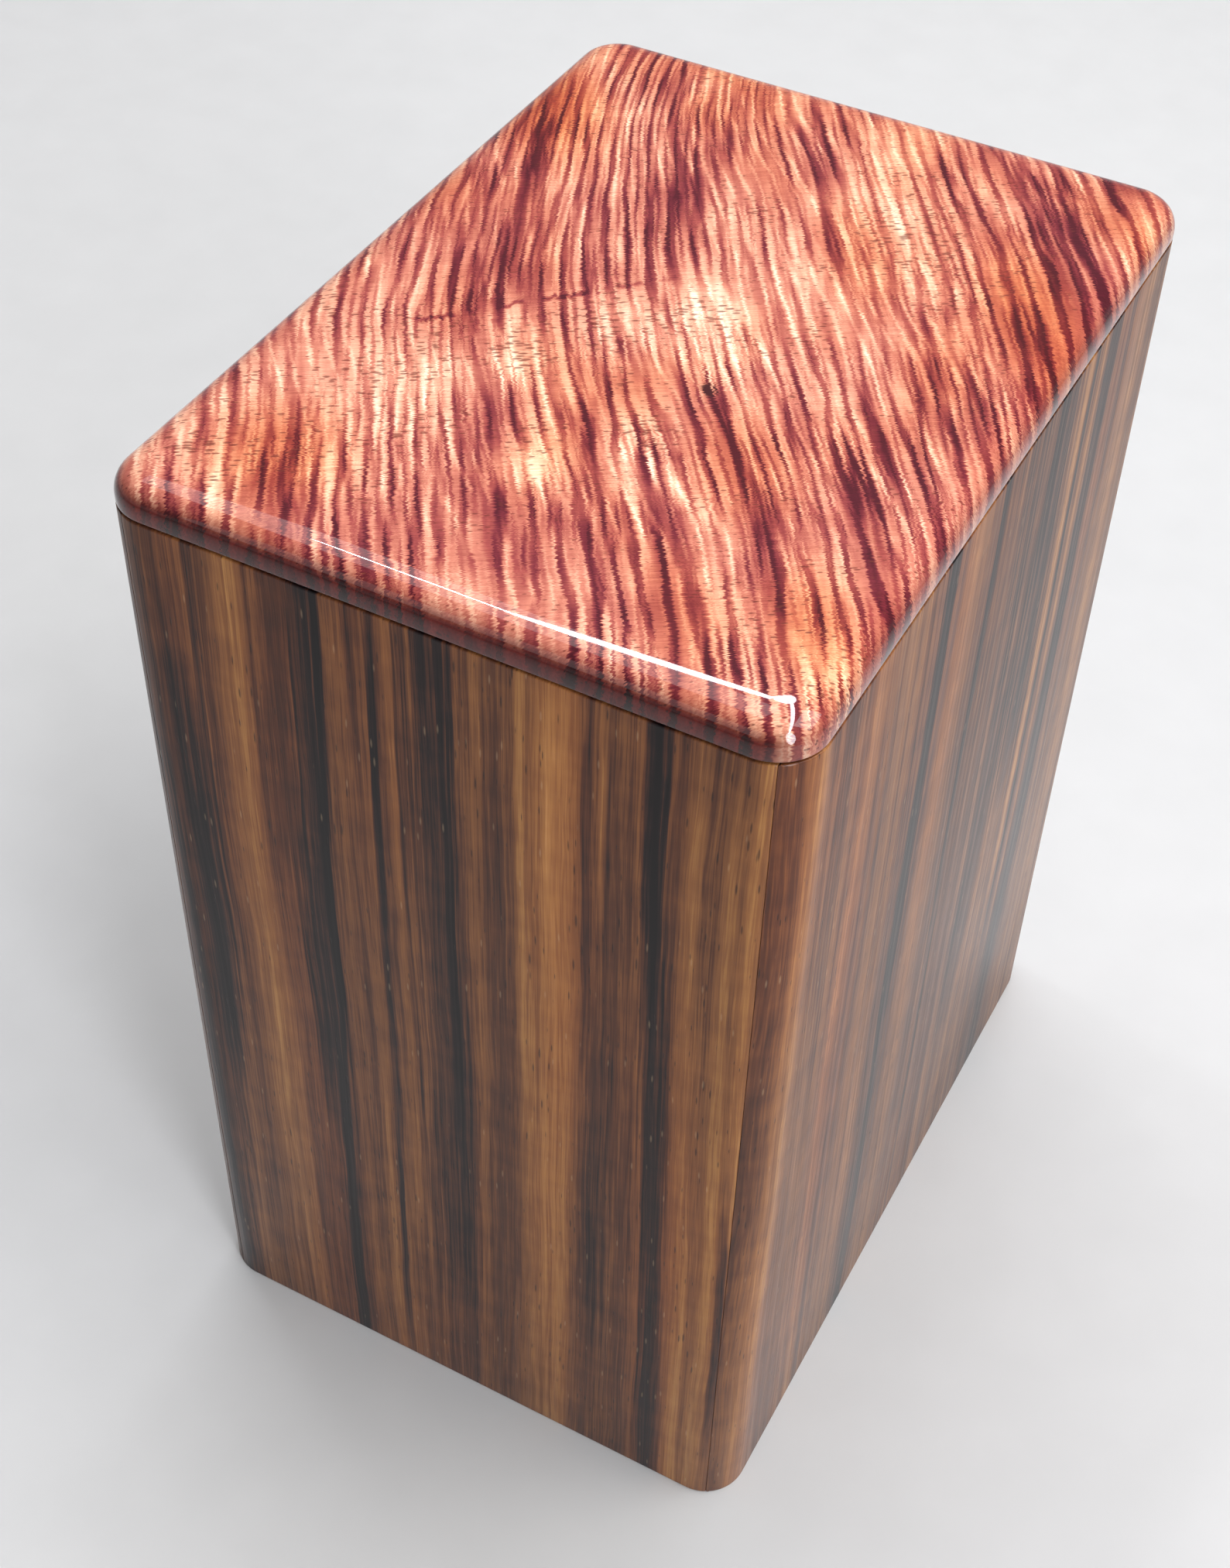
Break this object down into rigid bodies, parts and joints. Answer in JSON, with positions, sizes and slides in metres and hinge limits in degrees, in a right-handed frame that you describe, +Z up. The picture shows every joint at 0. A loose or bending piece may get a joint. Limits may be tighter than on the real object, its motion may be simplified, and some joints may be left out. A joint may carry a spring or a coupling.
{
  "type": "wooden puzzle box",
  "caption": "Plain upright wooden puzzle box with a curly wood lift-off lid, held by hidden steel pins in the rim that slide when the box is tilted.",
  "frame": {"origin": "middle of the foot, on the surface that the box stands on", "axes": "+Z up; -Y is the front face, with the visible joint line near its right edge; +X is the right side face"},
  "size_m": [0.14, 0.19, 0.2465],
  "materials": {
    "striped_wood": "satin",
    "curly_wood": "polished lacquer",
    "inner_wood": "oiled",
    "brass": "turned",
    "pin_steel": "ground",
    "screw_steel": "zinc plated",
    "magnet": "nickel plated",
    "felt": "felt"
  },
  "bodies": {
    "box": {"front_board": "striped_wood", "back_board": "striped_wood", "left_board": "striped_wood", "right_board": "striped_wood", "base_panel": "inner_wood", "base_lining": "felt", "rail_right": "inner_wood", "rail_back": "inner_wood", "rail_left": "inner_wood", "rail_front": "inner_wood", "sleeve_right": "brass", "sleeve_back": "brass", "sleeve_left": "brass", "sleeve_front": "brass", "magnet_right": "magnet", "magnet_back": "magnet", "magnet_left": "magnet", "magnet_front": "magnet"},
    "lid": {"lid_top": "curly_wood", "plug_board": "inner_wood", "plug_screws": "screw_steel", "lid_lining": "felt", "bush_right": "brass", "bush_back": "brass", "bush_left": "brass", "bush_front": "brass"},
    "pin_right": {"pin_right": "pin_steel"},
    "pin_back": {"pin_back": "pin_steel"},
    "pin_left": {"pin_left": "pin_steel"},
    "pin_front": {"pin_front": "pin_steel"}
  },
  "joints": [
    {"name": "lid_lift", "type": "slide", "parent": "box", "child": "lid", "axis": [0, 0, 1], "range_m": [0, 0.15]},
    {"name": "pin_right_slide", "type": "slide", "parent": "box", "child": "pin_right", "axis": [-1, 0, 0], "range_m": [0, 0.007]},
    {"name": "pin_back_slide", "type": "slide", "parent": "box", "child": "pin_back", "axis": [0, -1, 0], "range_m": [0, 0.007]},
    {"name": "pin_left_slide", "type": "slide", "parent": "box", "child": "pin_left", "axis": [1, 0, 0], "range_m": [0, 0.007]},
    {"name": "pin_front_slide", "type": "slide", "parent": "box", "child": "pin_front", "axis": [0, 1, 0], "range_m": [0, 0.007]}
  ]
}
